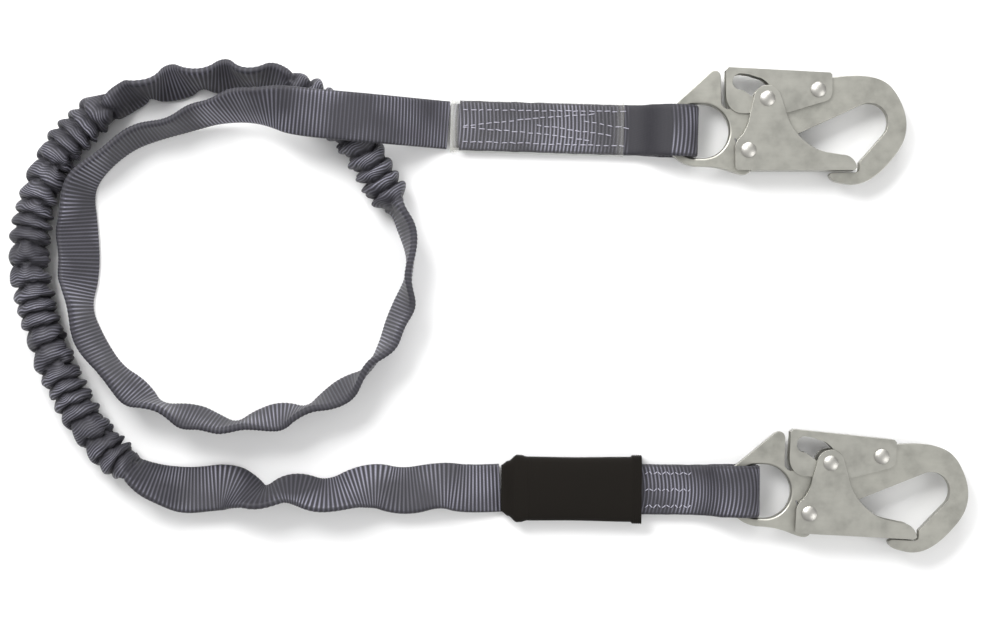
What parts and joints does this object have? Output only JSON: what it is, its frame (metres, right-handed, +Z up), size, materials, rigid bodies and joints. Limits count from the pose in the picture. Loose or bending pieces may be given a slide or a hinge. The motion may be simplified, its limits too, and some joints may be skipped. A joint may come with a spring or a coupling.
{
  "type": "shock absorbing lanyard",
  "caption": "Webbing lanyard with a gathered tubular jacket, an energy absorbing core inside and a double-locking snap hook at each end, laid flat in a loose loop.",
  "frame": {"origin": "middle of the laid-out lanyard's footprint, on the surface it lies on", "axes": "+X along the lay towards the snap hooks, +Y towards hook a, +Z up from the surface"},
  "size_m": [0.5458, 0.2756, 0.0387],
  "materials": {
    "forged_steel": "satin zinc plating on a forging",
    "sheet_steel": "satin zinc plating on pressed sheet",
    "rivet_steel": "polished domed heads",
    "roller_steel": "dark oiled",
    "spring_steel": "drawn wire",
    "webbing": "ribbed tubular polyester webbing, slate purple-grey",
    "energy_core": "undyed partly drawn yarn strap",
    "wear_pad": "dense webbing",
    "thread": "bonded polyester thread",
    "clear_sleeve": "clear flexible sleeve",
    "label_cover": "coated black cloth",
    "label_pages": "blank printed-label film",
    "hook_and_loop": "hook-and-loop tape"
  },
  "bodies": {
    "webbing": {"jacket_top_run": "webbing", "jacket_twist": "webbing", "jacket_loop": "webbing", "jacket_gathers_under": "webbing", "jacket_return": "webbing", "jacket_gathers_outer": "webbing", "jacket_bottom_run": "webbing", "sewn_end_a": "webbing", "sewn_end_b": "webbing", "wear_pad_a": "wear_pad", "wear_pad_b": "wear_pad", "stitching_a": "thread", "stitching_b": "thread", "clear_sleeve": "clear_sleeve", "label_cover": "label_cover", "label_pages": "label_pages", "closure_strips": "hook_and_loop", "energy_core": "energy_core"},
    "hook_a": {"hook_body_a": "forged_steel", "gate_rivet_a": "rivet_steel", "lock_rivet_a": "rivet_steel", "pivot_washers_a": "rivet_steel", "gate_spring_a": "spring_steel"},
    "gate_group_a": {"gate_a": "sheet_steel", "gate_pin_a": "rivet_steel", "pin_roller_a": "roller_steel"},
    "lock_group_a": {"lock_lever_a": "sheet_steel", "lock_spring_a": "spring_steel"},
    "hook_b": {"hook_body_b": "forged_steel", "gate_rivet_b": "rivet_steel", "lock_rivet_b": "rivet_steel", "pivot_washers_b": "rivet_steel", "gate_spring_b": "spring_steel"},
    "gate_group_b": {"gate_b": "sheet_steel", "gate_pin_b": "rivet_steel", "pin_roller_b": "roller_steel"},
    "lock_group_b": {"lock_lever_b": "sheet_steel", "lock_spring_b": "spring_steel"}
  },
  "joints": [
    {"name": "hook_swing_a", "type": "hinge", "parent": "webbing", "child": "hook_a", "pos_m": [0.10195, 0.1017, 0.0104], "axis": [0, 1, 0], "range_deg": [-25, 25]},
    {"name": "gate_opening_a", "type": "hinge", "parent": "hook_a", "child": "gate_group_a", "pos_m": [0.14763, 0.0908, 0.0104], "axis": [0, 0, 1], "range_deg": [0, 25], "stiffness_Nm_per_rad": 0.4, "springref_deg": -17.19},
    {"name": "lock_press_a", "type": "hinge", "parent": "hook_a", "child": "lock_group_a", "pos_m": [0.18743, 0.1252, 0.0104], "axis": [0, 0, 1], "range_deg": [0, 9.6]},
    {"name": "hook_swing_b", "type": "hinge", "parent": "webbing", "child": "hook_b", "pos_m": [0.13698, -0.10207, 0.0104], "axis": [0.0523, 0.9986, 0], "range_deg": [-25, 25]},
    {"name": "gate_opening_b", "type": "hinge", "parent": "hook_b", "child": "gate_group_b", "pos_m": [0.18202, -0.11535, 0.0104], "axis": [0, 0, 1], "range_deg": [0, 25], "stiffness_Nm_per_rad": 0.4, "springref_deg": -17.19},
    {"name": "lock_press_b", "type": "hinge", "parent": "hook_b", "child": "lock_group_b", "pos_m": [0.22357, -0.08308, 0.0104], "axis": [0, 0, 1], "range_deg": [0, 9.6]}
  ],
  "couplings": [
    {"joint": "lock_press_a", "follows": "gate_opening_a", "ratio": 0.384},
    {"joint": "lock_press_b", "follows": "gate_opening_b", "ratio": 0.384}
  ]
}
